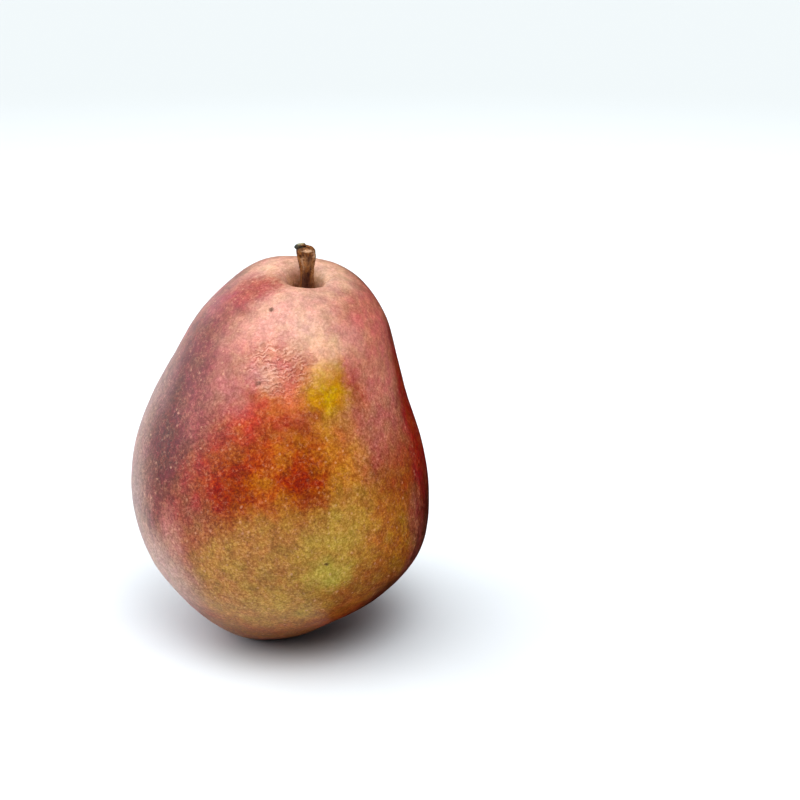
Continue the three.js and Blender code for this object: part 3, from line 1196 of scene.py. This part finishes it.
@dataclass(frozen=True)
class WaxyPeel:
    """Peel of a red winter pear, ripened on the tree, picked and wiped by hand.

    A thin wax layer over the red pigment makes it satin: soft wide highlights, no mirror.
    The red lies over a green and yellow ground, in grains the size of the skin's cells,
    so that every edge between two colours is broken up into grains. Corky breathing
    pores dot it, and one area is rubbed and wrinkled. Some colour is painted light: a
    painted sheen on the crown, painted highlights on the wrinkles' crests and in the
    rubbed place, and painted shade in the folds, on the right side and deep in the
    stem cavity, with a painted lighter cavity wall.
    """

    roughness: float = 0.37
    rubbed_roughness: float = 0.26
    index: float = 1.45
    specular: float = 0.4
    # How the edges of its patches and of its marks wander: size and reach of each move, in mm.
    edges: tuple[tuple[float, float], ...] = ((12, 8), (3.4, 4))
    mark_edges: tuple[float, float] = (1.2, 1.2)
    # The blush, cloudy and faintly streaked upwards.
    blush_clouds: Cloud = Cloud(16, 0, 1, 0.35, 0.65, 3)
    blush_streaks: Cloud = Cloud(2.6, 0, 0.4, 0.4, 0.7, 3)
    streak_rise: float = 0.22
    # Its hue and its depth, which drift over a few mm.
    hue: Cloud = Cloud(4.5, 0.492, 0.516, detail=3)
    depth: Cloud = Cloud(2.8, 0.86, 1.14, detail=3)
    depth_edges: tuple[float, float] = (6, 5)
    saturation: float = 1.02
    # Lighter and darker grains, the net between them, and finer ones. One cell of the skin
    # is too fine to show, so each grain stands for a clump of them.
    grain: Cloud = Cloud(0.85)
    grain_contrast: float = 0.11
    net_contrast: float = 0.1
    net_edges: tuple[float, float] = (0.25, 0.75)
    fine_grain: Cloud = Cloud(0.42, -0.17, 0.17)
    lightening: float = 0.56
    deepening: float = 0.64
    # Over these heights in mm the veil of bloom gets thicker, and leaves this much contrast.
    veil_starts: tuple[float, float] = (58, 84)
    veiled_contrast: float = 0.6
    # Short pale threads of bloom: their size and how they wander, in mm, and their breaks.
    thread: Cloud = Cloud(1.2)
    thread_edges: tuple[float, float] = (1.1, 1.2)
    thread_width: tuple[float, float] = (0.005, 0.05)
    thread_breaks: Cloud = Cloud(1.4, 0, 0.27, 0.42, 0.62)
    thread_lightening: float = 1.7
    thread_cork: float = 0.62
    # Breathing pores: their spacing, their radius and how they wander, in mm.
    pore_cell: float = 1.9
    pore_radius: float = 0.45
    pore_core: float = 0.45
    pore_least: float = 0.15
    pore_edges: tuple[float, float] = (1.5, 0.8)
    pore_strength: float = 0.34
    # Wrinkles: their spacing in mm, the direction across them and how they wander.
    wrinkle_spacing: float = 1.05
    wrinkle_across: tuple[float, float, float] = (-0.3, 0, 0.95)
    wrinkle_edges: tuple[float, float] = (1.6, 2.8)
    wrinkle_swerve: float = 18.0
    swerve_lumps: Cloud = Cloud(3.0)
    wrinkle_breaks: Cloud = Cloud(1.3, 0.1, 1, 0.38, 0.6)
    # The parts of a wrinkle's wave, from -1 to 1, that are folds and crests.
    fold_wave: tuple[float, float] = (-0.95, -0.2)
    crest_wave: tuple[float, float] = (0.2, 0.95)
    # Painted shade darkens the folds by this share.
    fold_shade_strength: float = 0.45
    # Painted highlights lighten the crests by this share.
    crest_glint_strength: float = 0.6
    pebble: Cloud = Cloud(0.55, detail=3)
    pebble_relief: Relief = Relief(0.05, 0.5)
    pore_relief: Relief = Relief(0.03, 0.5)
    fold_relief: Relief = Relief(-0.2)
    # How far the mouth of the cavity and its wall lie above the cavity's floor, in mm.
    mouth_height: float = 7
    wall_height: float = 5
    # Areas of the ground and, over them, of the blush, each laid over the ones before it.
    # A few of them are painted light: painted sheen on the crown, painted shade on the right.
    ground: tuple[Patch, ...] = (
        Patch(Tint.BROWN_TAN, -88, 28, 34, 30, 0.95, 0, 0.6),
        Patch(Tint.BROWN_TAN, 60, 30, 26, 30, 0.75, 0, 0.2),
        Patch(Tint.TAN, 75, 24, 16, 16, 0.8, 0, 0.2),
        Patch(Tint.TAN, -103, 36, 19, 16, 0.95, 0, 0.35),
        Patch(Tint.TAN, -106, 22, 15, 9, 0.9, 0, 0.3),
        Patch(Tint.OLIVE, -88, 23, 14, 8, 0.55, 0, 0.2),
        Patch(Tint.FOOT_BROWN, -98, 7, 24, 7, 0.9, 0, 0.35),
        Patch(Tint.BURNT_ORANGE, -88, 59, 22, 12, 0.95, 0, 0.45),
        Patch(Tint.HONEY, -41, 38, 9, 20, 0.95, 4, 0.3),
        Patch(Tint.BURNT_ORANGE, -35, 53, 10, 11, 0.9, 0, 0.1),
        # Painted shade on the right side: partly the skin's deep red, partly painted shade.
        Patch(Tint.DEEP_RED, -14, 52, 11, 24, 0.95, 0, 0.3),
        # Painted shade on the lower right.
        Patch(Tint.PAINTED_SHADE_RED, -10, 32, 12, 18, 0.8, 0, 0.3),
        Patch(Tint.RUST, -58, 13, 14, 9, 0.65, 0, 0.2),
        # Painted shade on the lower right.
        Patch(Tint.PAINTED_SHADE_RED, -36, 17, 12, 10, 0.75, 0, 0.2),
        Patch(Tint.AMBER, -64, 63, 9, 13, 0.95, 8, 0.3),
        Patch(Tint.AMBER, -55, 42, 11, 16, 0.9, 0, 0.1),
        Patch(Tint.OLIVE, -71, 42, 13, 15, 0.9, -14, 0.0),
        Patch(Tint.LEAF_GREEN, -73.5, 31.5, 7, 6, 0.9, 0, 0.1),
    )
    blush: tuple[Patch, ...] = (
        Patch(Tint.PLUM, -148, 68, 17, 32, 0.95, 8, 0.25),
        Patch(Tint.PLUM, -141, 53, 9, 15, 0.35, 0, 0.1),
        Patch(Tint.WINE, -125, 50, 10, 16, 0.9, -12, 0.15),
        Patch(Tint.RUST, -110, 55, 9, 13, 0.95, -16, 0.25),
        Patch(Tint.RUST, -82, 55.5, 7, 11, 0.9, 4, 0.15),
        Patch(Tint.BRICK, -111, 65, 10, 8, 0.95, 24, 0.3),
        Patch(Tint.DEEP_RED, -122.5, 57, 7, 8, 0.5, 0, 0.1),
        Patch(Tint.VEIL, -133, 40, 5, 8, 0.65, 6, 0.1),
        Patch(Tint.RUST, -38, 53, 9, 9, 0.45, 0, 0.1),
        Patch(Tint.CRIMSON, -98, 71.5, 13, 8.5, 0.95, 14, 0.3),
        Patch(Tint.MAUVE, -129, 75, 9, 17, 0.9, 12, 0.2),
        Patch(Tint.DUSTY_ROSE, -115, 76.5, 8, 8.5, 0.9, 24, 0.15),
        Patch(Tint.ORANGE, -82, 76, 10, 7, 0.95, 10, 0.3),
        Patch(Tint.BRICK_ROSE, -43, 71, 16, 20, 0.95, 0, 0.1),
        Patch(Tint.ROSE, -36, 80, 15, 16, 0.9, 0, 0.1),
        Patch(Tint.CRIMSON, -51, 73, 4, 7, 0.6, 6, 0.0),
        Patch(Tint.BRICK, 16, 60, 17, 26, 0.6, 0, 0.0),
        # Painted shade on the right side: partly the skin's deep red, partly painted shade.
        Patch(Tint.DEEP_RED, -6, 68, 10, 19, 0.9, 0, 0.1),
        # Painted sheen: these three patches are pale skin on the crown, partly wax bloom and partly a
        # painted highlight where the top light falls.
        Patch(Tint.VEIL, -102, 87, 13, 9, 0.95, 0, 0.3),
        Patch(Tint.BLOOM_AND_SHEEN, -76, 92, 16, 9, 0.9, 0, 0.3),
        Patch(Tint.BLOOM_AND_SHEEN, -60, 88, 13, 9, 0.9, 0, 0.2),
        Patch(Tint.ROSE, -22, 90, 15, 8, 0.85, 0, 0.2),
        Patch(Tint.MUSTARD, -66.5, 75.5, 7.5, 7, 1.0, 8, 0.3),
        Patch(Tint.STRAW, -67, 81, 6.5, 4.5, 0.9, 8, 0.2),
        # Painted sheen: pale skin above the yellow patch, partly a painted highlight.
        Patch(Tint.PEACH, -66, 86, 7, 5, 0.9, 8, 0.2),
        Patch(Tint.MAUVE, -152, 92, 12, 6, 0.7, 0, 0.2),
        Patch(Tint.PLUM, -139, 78, 7, 12, 0.5, 10, 0.1),
        Patch(Tint.RASPBERRY, -124, 97, 11, 4.5, 0.95, 16, 0.2),
        Patch(Tint.GREY_ROSE, -172, 64, 12, 24, 0.75, 0, 0.0),
        Patch(Tint.GREY_ROSE, -163, 44, 12, 17, 0.9, 0, 0.1),
        Patch(Tint.PINK_TAN, -147, 26, 15, 16, 0.9, 0, 0.25),
    )
    # The rubbed place, a pale patch in it that is partly whitened wax and partly painted
    # highlight, three dark marks, and the russet at both ends, with a painted lighter wall
    # and painted shade deep in the stem cavity.
    rubbed: Patch = Patch(Tint.ROSE, -90, 81.5, 12, 8.5, 0.75, -14, 0.2)
    scuff_and_glint: Patch = Patch(Tint.WAX_AND_GLINT, -99, 79, 6.5, 4.5, 0.28, -14, 0.1)
    scar: Patch = Patch(Tint.SPECK, -100.2, 78.4, 1.3, 0.9, 0.75, 20, 0.1)
    dot: Patch = Patch(Tint.SPECK, -94.6, 93.4, 0.8, 0.6, 0.85, 0, 0.2)
    nick: Patch = Patch(Tint.SPECK, -73.8, 34.5, 0.9, 0.6, 0.8, 0, 0.2)
    cavity: Patch = Patch(Tint.RUSSET, 0, 0, 18, 11, 0.9, 0, 0.4)
    # Painted light: a paler band round the cavity wall, partly pale russet and partly painted light
    # where light reaches in.
    cavity_wall: Patch = Patch(Tint.PEACH, 0, 0, 6.0, 3.6, 0.8, 0, 0.3)
    # Painted shade: darker brown near the cavity floor, partly russet and partly painted shade.
    cavity_floor: Patch = Patch(Tint.CAVITY_BROWN, 0, 0, 6.0, 4.6, 0.9, 0, 0.5)
    basin: Patch = Patch(Tint.RUSSET, 0, 0, 12, 7, 0.8, 0, 0.4)

    def build(self, fruit: Fruit) -> bpy.types.Material:
        """Makes the finish.

        Args:
            fruit: The fruit it is for, which tells where its patches lie.

        Returns:
            The material.
        """
        paint = Painter("Waxy pear peel")
        grain = paint.cloud(self.grain)
        place = paint.warped(paint.place, *self.edges)
        colour = self.base(paint, place)
        for patch, centre in self.areas(fruit):
            colour = paint.over(paint.cover(patch, centre, place, grain), colour, patch.tint)
        rubbed = paint.cover(self.rubbed, fruit.point(self.rubbed), place, grain)
        scuff_and_glint = paint.cover(self.scuff_and_glint, fruit.point(self.scuff_and_glint), place, grain)
        colour = paint.over(rubbed, colour, self.rubbed.tint)
        colour = paint.over(scuff_and_glint, colour, self.scuff_and_glint.tint)
        folds, crests = self.wrinkles(paint, rubbed)
        # Painted shade in the folds of the wrinkles.
        colour = paint.over(folds, colour, Tint.BRICK, self.fold_shade_strength)
        # Painted highlights on the crests of the wrinkles.
        colour = paint.over(crests, colour, Tint.WAX_AND_GLINT, self.crest_glint_strength)
        colour = self.mottled(paint, self.drifting(paint, colour), grain)
        pores = self.pores(paint)
        colour = paint.over(pores, colour, Tint.LENTICEL, self.pore_strength)
        for mark in (self.scar, self.dot, self.nick):
            ragged = paint.warped(paint.place, self.mark_edges)
            share = paint.cover(mark, fruit.point(mark), ragged, grain)
            colour = paint.over(share, colour, mark.tint)
        paint.emboss(paint.node("TexNoise", self.pebble.lumps(paint.place)), self.pebble_relief)
        paint.emboss(pores, self.pore_relief)
        paint.emboss(folds, self.fold_relief)
        levels = (rubbed, 0, 1, self.roughness, self.rubbed_roughness)
        return paint.finish(
            Base_Color=colour,
            Roughness=paint.node("MapRange", levels, **EASED),
            IOR=self.index,
            Specular_IOR_Level=self.specular,
        )

    def areas(self, fruit: Fruit) -> list[tuple[Patch, Vector]]:
        """The areas of colour, from the lowest layer to the highest.

        Args:
            fruit: The fruit they lie on.

        Returns:
            Each patch and its middle, in mm.
        """
        floor = Vector(fruit.on_axis(fruit.outline[-1]))
        eye = Vector(fruit.on_axis(fruit.outline[0]))
        mouth = floor + Vector((0, 0, self.mouth_height))
        wall = floor + Vector((0, 0, self.wall_height))
        return [
            *((patch, fruit.point(patch)) for patch in self.ground),
            (self.cavity, mouth),
            (self.basin, eye),
            *((patch, fruit.point(patch)) for patch in self.blush),
            (self.cavity_wall, wall),
            (self.cavity_floor, floor),
        ]

    def base(self, paint: Painter, place: Socket) -> Socket:
        """The red blush that covers most of the pear.

        Args:
            paint: The painter.
            place: The place in mm, warped for uneven edges.

        Returns:
            Its colour.
        """
        upward = {"Vector": place, "Scale": (1, 1, self.streak_rise)}
        stretched = paint.node("Mapping", upward, vector_type="POINT")
        red = paint.over(paint.cloud(self.blush_clouds, place), linear(Tint.WINE.value), Tint.PLUM)
        return paint.over(paint.cloud(self.blush_streaks, stretched), red, Tint.ROSE)

    def drifting(self, paint: Painter, colour: Socket) -> Socket:
        """The colour with its hue and its depth drifting over a few mm, as they do on fruit.

        Args:
            paint: The painter.
            colour: The colour.

        Returns:
            The drifting colour.
        """
        depth = paint.cloud(self.depth, paint.warped(paint.place, self.depth_edges))
        inputs = {"Hue": paint.cloud(self.hue), "Saturation": self.saturation, "Value": depth}
        return paint.node("HueSaturation", {**inputs, "Color": colour})

    def mottled(self, paint: Painter, colour: Socket, grain: Socket) -> Socket:
        """The colour in lighter and darker cells, with threads of bloom over them.

        Args:
            paint: The painter.
            colour: The colour.
            grain: Noise the size of the skin's cells.

        Returns:
            The mottled colour.
        """
        inputs = {"Vector": paint.place, "Scale": 1 / self.grain.size}
        cells = paint.node("TexVoronoi", inputs, "Distance")
        levels = (cells, *self.net_edges, self.net_contrast, -self.net_contrast)
        net = paint.node("MapRange", levels, **EASED)
        height = paint.node("SeparateXYZ", {"Vector": paint.place}, "Z")
        veiled = paint.node("MapRange", (height, *self.veil_starts, 1, self.veiled_contrast), **EASED)
        centred = (grain, 2 * self.grain_contrast, -self.grain_contrast)
        lift = paint.node("Math", centred, operation="MULTIPLY_ADD")
        fine = paint.cloud(self.fine_grain)
        for operation, other in (("ADD", net), ("ADD", fine), ("MULTIPLY", veiled)):
            lift = paint.node("Math", (lift, other), operation=operation)
        value, power = (
            paint.node("Math", (lift, gain, 1), operation="MULTIPLY_ADD")
            for gain in (self.lightening, -self.deepening)
        )
        shaded = paint.node("HueSaturation", {"Value": value, "Color": colour})
        deepened = paint.node("Gamma", {"Color": shaded, "Gamma": power})
        lighter = paint.node("HueSaturation", {"Value": self.thread_lightening, "Color": deepened})
        cork = paint.over(self.thread_cork, lighter, Tint.LENTICEL)
        return paint.over(self.threads(paint), deepened, cork)

    def threads(self, paint: Painter) -> Socket:
        """Short pale threads of bloom that follow no direction.

        Args:
            paint: The painter.

        Returns:
            How much bloom there is at each point.
        """
        place = paint.warped(paint.place, self.thread_edges)
        wave = paint.node("TexNoise", self.thread.lumps(place))
        off_crest = paint.node("Math", (wave, 0.5), operation="SUBTRACT")
        distance = paint.node("Math", {0: off_crest}, operation="ABSOLUTE")
        levels = (distance, *self.thread_width, paint.cloud(self.thread_breaks), 0)
        return paint.node("MapRange", levels, **EASED)

    def pores(self, paint: Painter) -> Socket:
        """The breathing pores, each a small disc and no two equally clear.

        Args:
            paint: The painter.

        Returns:
            How clear a pore is at each point, from 0 to 1.
        """
        inputs = {"Vector": paint.warped(paint.place, self.pore_edges), "Scale": 1 / self.pore_cell}
        cells = paint.node("TexVoronoi", inputs, "Distance", feature="F1")
        one_of_each = paint.node("SeparateColor", {"Color": cells.node.outputs["Color"]}, "Red")
        reach = self.pore_radius / self.pore_cell
        clear = paint.node("MapRange", (one_of_each, self.pore_least, 1), **EASED)
        return paint.node("MapRange", (cells, self.pore_core * reach, reach, clear, 0), **EASED)

    def wrinkles(self, paint: Painter, rubbed: Socket) -> tuple[Socket, Socket]:
        """Wrinkles in loose skin, which rise a little to the right and break off.

        Args:
            paint: The painter.
            rubbed: How far the skin is rubbed loose, from 0 to 1.

        Returns:
            Their folds and their crests, each from 0 to 1.
        """
        place = paint.warped(paint.place, self.wrinkle_edges)
        across = tuple(2 * math.pi / self.wrinkle_spacing * part for part in self.wrinkle_across)
        turns = paint.node("VectorMath", (place, across), "Value", operation="DOT_PRODUCT")
        lumps = paint.node("TexNoise", self.swerve_lumps.lumps(paint.place))
        swerved = paint.node("Math", (lumps, self.wrinkle_swerve, turns), operation="MULTIPLY_ADD")
        wave = paint.node("Math", {0: swerved}, operation="SINE")
        broken = paint.cloud(self.wrinkle_breaks)
        loose = paint.node("Math", (rubbed, broken), operation="MULTIPLY")
        folds = paint.node("MapRange", (wave, *self.fold_wave, loose, 0), **EASED)
        return folds, paint.node("MapRange", (wave, *self.crest_wave, 0, loose), **EASED)


@dataclass(frozen=True)
class DryBark:
    """Bark of a pear's stem, grown woody, snapped off the spur and dried.

    It is brown and matt with lengthwise ribs, near black in its hollows, paler on a few
    edges near its head, and greyish where the spur's bark is left on the head.
    """

    roughness: float = 0.82
    index: float = 1.5
    grain: Cloud = Cloud(0.4, detail=3)
    # One fibre is too fine to show, so they are drawn in bundles.
    fibre: Cloud = Cloud(0.55, 0, 1, 0.32, 0.62, 3)
    fibre_rise: float = 0.25
    fibre_relief: Relief = Relief(0.12, 0.7)
    edges: tuple[float, float] = (1.2, 1.4)
    # The power that the colour is raised to: its least, and what the grain adds to it.
    least_power: float = 0.85
    grain_power: float = 0.3
    patches: tuple[Patch, ...] = (
        Patch(Tint.BARK_TAN, -95, 10.6, 2.2, 2.4, 0.5, 0, 0.2),
        Patch(Tint.BARK_TAN, -28, 6, 0.9, 6, 0.6, 0, 0.2),
        Patch(Tint.BARK_RED, -98, 3.5, 1.7, 5.5, 0.9, 0, 0.45),
        Patch(Tint.BARK_RED, -78, 11.6, 1.0, 1.4, 0.7, 0, 0.2),
        Patch(Tint.BARK_GREY, -15, 12.0, 0.9, 2.2, 0.5, 0, 0.2),
        Patch(Tint.BARK_PALE, -75, 13.6, 1.7, 0.42, 0.9, 0, 0.3),
        Patch(Tint.BARK_PALE, -125, 10.5, 0.6, 2.2, 0.5, 0, 0.1),
        Patch(Tint.BARK_PALE, -35, 12.2, 0.6, 1.6, 0.55, 0, 0.1),
        Patch(Tint.BARK_RED, -125, 12.0, 0.6, 0.6, 1.0, 0, 0.4),
        Patch(Tint.CAP_DARK, 180, 14.4, 2.6, 0.85, 1.0, 0, 0.45),
    )
    cap_top: Patch = Patch(Tint.CAP_PALE, 0, 0, 1.2, 0.4, 0.8, 0, 0.3)
    cap_top_rise: tuple[float, float, float] = (0.1, 0, 0.75)

    def build(self, stem: Stem, foot: np.ndarray) -> bpy.types.Material:
        """Makes the finish.

        Args:
            stem: The stem it is for.
            foot: Where the stem's axis meets the cavity floor, in mm.

        Returns:
            The material.
        """
        paint = Painter("Dry pear stem bark")
        grain = paint.cloud(self.grain)
        place = paint.warped(paint.place, self.edges)
        upward = {"Vector": place, "Scale": (1, 1, self.fibre_rise)}
        lengthwise = paint.node("Mapping", upward, vector_type="POINT")
        fibre = paint.cloud(self.fibre, lengthwise)
        colour = paint.over(fibre, linear(Tint.BARK_RED.value), Tint.BARK)
        areas = [(patch, stem.on_bark(patch, foot)) for patch in self.patches]
        areas.append((self.cap_top, Vector(foot) + Vector(stem.cap.middle) + Vector(self.cap_top_rise)))
        for patch, centre in areas:
            colour = paint.over(paint.cover(patch, centre, place, grain), colour, patch.tint)
        raised = (grain, self.grain_power, self.least_power)
        power = paint.node("Math", raised, operation="MULTIPLY_ADD")
        colour = paint.node("Gamma", {"Color": colour, "Gamma": power})
        paint.emboss(fibre, self.fibre_relief)
        return paint.finish(Base_Color=colour, Roughness=self.roughness, IOR=self.index)


@dataclass(frozen=True)
class WitheredLeaf:
    """Sepals and stamens of the flower, withered on the fruit for months.

    They are dark brown and leathery, paler and greyer towards their worn tips.
    """

    roughness: float = 0.85
    index: float = 1.45
    worn: Cloud = Cloud(0.8, 0, 1, 0.4, 0.65, 3)
    # The worn places are palest below the first of these heights in mm, faint above the second.
    tip_heights: tuple[float, float] = (1.5, 4.5)
    tip_strengths: tuple[float, float] = (0.8, 0.25)
    wrinkle: Cloud = Cloud(0.3, detail=3)
    wrinkle_relief: Relief = Relief(0.08, 0.7)

    def build(self) -> bpy.types.Material:
        """Makes the finish.

        Returns:
            The material.
        """
        paint = Painter("Withered sepals")
        height = paint.node("SeparateXYZ", {"Vector": paint.place}, "Z")
        tips = paint.node("MapRange", (height, *self.tip_heights, *self.tip_strengths), **EASED)
        share = paint.node("Math", (paint.cloud(self.worn), tips), operation="MULTIPLY")
        colour = paint.over(share, linear(Tint.CALYX.value), Tint.CALYX_PALE)
        paint.emboss(paint.node("TexNoise", self.wrinkle.lumps(paint.place)), self.wrinkle_relief)
        return paint.finish(Base_Color=colour, Roughness=self.roughness, IOR=self.index)


@dataclass(frozen=True)
class SeamlessPaper:
    """White background paper, matt and unbroken, lit until it is nearly pure white.

    Its fibre is too fine to show from here, and is drawn as clouds of 40 mm. Away from
    the middle its colour fades to a cooler grey, a painted shade where the light falls off.
    """

    white: str = "#dee3e7"
    fibre_tone: str = "#dce1e5"
    fibre: Cloud = Cloud(40, 0, 1, 0.35, 0.65)
    # Painted shade: the paper fades to this grey between these distances in mm from the middle, where
    # the light falls off.
    far_painted_shade: str = "#c3c7c8"
    fades: tuple[float, float] = (300, 1100)
    roughness: float = 0.9

    def build(self) -> bpy.types.Material:
        """Makes the finish.

        Returns:
            The material.
        """
        paint = Painter("White seamless paper")
        near = paint.over(paint.cloud(self.fibre), linear(self.white), linear(self.fibre_tone))
        distance = paint.node("VectorMath", {0: paint.place}, "Value", operation="LENGTH")
        far = paint.node("MapRange", (distance, *self.fades), **EASED)
        colour = paint.over(far, near, linear(self.far_painted_shade))
        return paint.finish(Base_Color=colour, Roughness=self.roughness, Specular_IOR_Level=0.0)


@dataclass(frozen=True)
class FlockedCard:
    """Dark red card with a flocked face, which swallows nearly all the light.

    Its pile is too fine to show in a reflection, and is drawn as clouds of 3 mm.
    """

    tone: str = "#3d120e"
    pile_tone: str = "#2c0c0a"
    pile: Cloud = Cloud(3, 0, 1, 0.35, 0.65)
    roughness: float = 1.0

    def build(self) -> bpy.types.Material:
        """Makes the finish.

        Returns:
            The material.
        """
        paint = Painter("Flocked card")
        colour = paint.over(paint.cloud(self.pile), linear(self.tone), linear(self.pile_tone))
        return paint.finish(Base_Color=colour, Roughness=self.roughness, Specular_IOR_Level=0.0)


@dataclass(frozen=True)
class Glow:
    """A soft bright area of the studio's white tent, far enough away to be a direction.

    Attributes:
        azimuth: Where its middle is, in degrees from +X towards +Y.
        elevation: Its height above the floor, in degrees.
        core: The angle from its middle over which it is at its brightest, in degrees.
        spread: The angle from its middle at which it has faded to nothing, in degrees.
        brightness: Its radiance, where 1 is white.
        tint: Its colour, as an sRGB hex value.
    """

    azimuth: float
    elevation: float
    core: float
    spread: float
    brightness: float
    tint: str = "#ffffff"

    def towards(self) -> tuple[float, float, float]:
        """The direction of its middle.

        Returns:
            A vector with a length of 1.
        """
        azimuth, elevation = math.radians(self.azimuth), math.radians(self.elevation)
        flat = math.cos(elevation)
        return (flat * math.cos(azimuth), flat * math.sin(azimuth), math.sin(elevation))


@dataclass(frozen=True)
class Studio:
    """A white paper floor in a tent of soft light, and the camera."""

    floor_size: float = 6000
    camera_at: tuple[float, float, float] = (0.0, -389.4, 197.3)
    camera_aim: tuple[float, float, float] = (32.18, 8.32, 60.6)
    focal_length: float = 71.06
    sensor: float = 36.0
    clip_start: float = 10.0
    glows: tuple[Glow, ...] = (
        Glow(200, 45, 8, 45, 1.45),
        Glow(-120, 84, 10, 48, 1.8),
        Glow(-72, 58, 5, 24, 4.4),
        Glow(140, 14, 10, 50, 1.5, "#effaff"),
        Glow(180, 6, 5, 34, 1.4, "#effaff"),
        Glow(0, 32, 5, 38, 0.45),
    )
    # The dark card: where its foot runs, how far it reaches in under the pear, and its heights.
    flag_foot: tuple[tuple[float, float], ...] = (
        (48, -105),
        (52, -60),
        (52, 100),
        (42, 150),
        (10, 190),
    )
    flag_toe: float = 14
    flag_bottom: float = 1
    flag_top: float = 140
    backdrop: str = "#f3f8f9"

    def build(self) -> None:
        """Adds the floor, the dark card, the light and the camera to the scene."""
        self.floor()
        self.flag()
        self.tent()
        self.camera()

    def camera(self) -> None:
        """Adds the camera, which looks along its own -Z, and sets how its picture is shown."""
        lens = bpy.data.cameras.new("camera")
        lens.sensor_width = self.sensor
        lens.lens = self.focal_length
        lens.clip_start = self.clip_start * MM
        camera = bpy.data.objects.new("camera", lens)
        camera.location = Vector(self.camera_at) * MM
        line = Vector(self.camera_aim) - Vector(self.camera_at)
        camera.rotation_euler = line.to_track_quat("-Z", "Y").to_euler()
        scene = bpy.context.scene
        scene.collection.objects.link(camera)
        scene.camera = camera
        scene.view_settings.view_transform = "Standard"
        scene.view_settings.look = "Medium High Contrast"

    def floor(self) -> None:
        """Adds the sheet of paper, with its face at height 0."""
        half = self.floor_size / 2
        corners = np.array([(-half, -half, 0), (half, -half, 0), (half, half, 0), (-half, half, 0)])
        paper = put_mesh("paper", corners, [(0, 1, 2, 3)], SeamlessPaper().build())

    def flag(self) -> None:
        """Stands a dark card on the pear's right, seen in its gloss alone, to keep that side deep."""
        toe = [(self.flag_toe, y, self.flag_bottom) for _, y in self.flag_foot]
        foot = [(x, y, self.flag_bottom) for x, y in self.flag_foot]
        top = [(x, y, self.flag_top) for x, y in self.flag_foot]
        count = len(foot)
        strips = [row * count + k for row in (0, 1) for k in range(count - 1)]
        faces = [(k, k + 1, count + k + 1, count + k) for k in strips]
        card = put_mesh("flag", np.array(toe + foot + top), faces, FlockedCard().build())
        card.visible_camera = False
        card.visible_shadow = False
        card.visible_diffuse = False

    def tent(self) -> None:
        """Sets the world: the glows on black, and plain pale where the camera sees it."""
        world = bpy.data.worlds.new("tent")
        world.use_nodes = True
        tree = world.node_tree
        tree.nodes.clear()
        direction = add(tree, "TexCoord", {}, "Generated")
        total = (0.0, 0.0, 0.0)
        for glow in self.glows:
            directions = (direction, glow.towards())
            facing = add(tree, "VectorMath", directions, "Value", operation="DOT_PRODUCT")
            edges = [math.cos(math.radians(angle)) for angle in (glow.spread, glow.core)]
            share = add(tree, "MapRange", (facing, *edges, 0, glow.brightness), **EASED)
            lit = {0: linear(glow.tint)[:3], "Scale": share}
            light = add(tree, "VectorMath", lit, operation="SCALE")
            total = add(tree, "VectorMath", (total, light), operation="ADD")
        tent = add(tree, "Background", {"Color": total, "Strength": 1.0})
        seen = add(tree, "Background", {"Color": linear(self.backdrop), "Strength": 1.0})
        camera_ray = add(tree, "LightPath", {}, "Is Camera Ray")
        mixed = add(tree, "MixShader", (camera_ray, tent, seen))
        output = tree.nodes.new("ShaderNodeOutputWorld")
        tree.links.new(mixed, output.inputs["Surface"])
        bpy.context.scene.world = world


def main() -> None:
    """Builds the pear, its finishes and the studio."""
    logging.basicConfig(level=logging.INFO, format="%(name)s: %(message)s")
    fruit = Fruit()
    stem = Stem()
    calyx = Calyx()
    stem_foot = fruit.on_axis(fruit.outline[-1])
    calyx_foot = fruit.on_axis(fruit.outline[0])
    pieces = [
        fruit.build(WaxyPeel().build(fruit)),
        stem.build(DryBark().build(stem, stem_foot), stem_foot),
        calyx.build(WitheredLeaf().build(), calyx_foot),
    ]
    for piece in pieces:
        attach(piece, BODY)
        size = ", ".join(f"{length / MM:.1f}" for length in piece.dimensions)
        LOG.info("%s: %d faces, %s mm", piece.name, len(piece.data.polygons), size)
    Studio().build()
    bpy.context.view_layer.update()


if __name__ == "__main__":
    main()
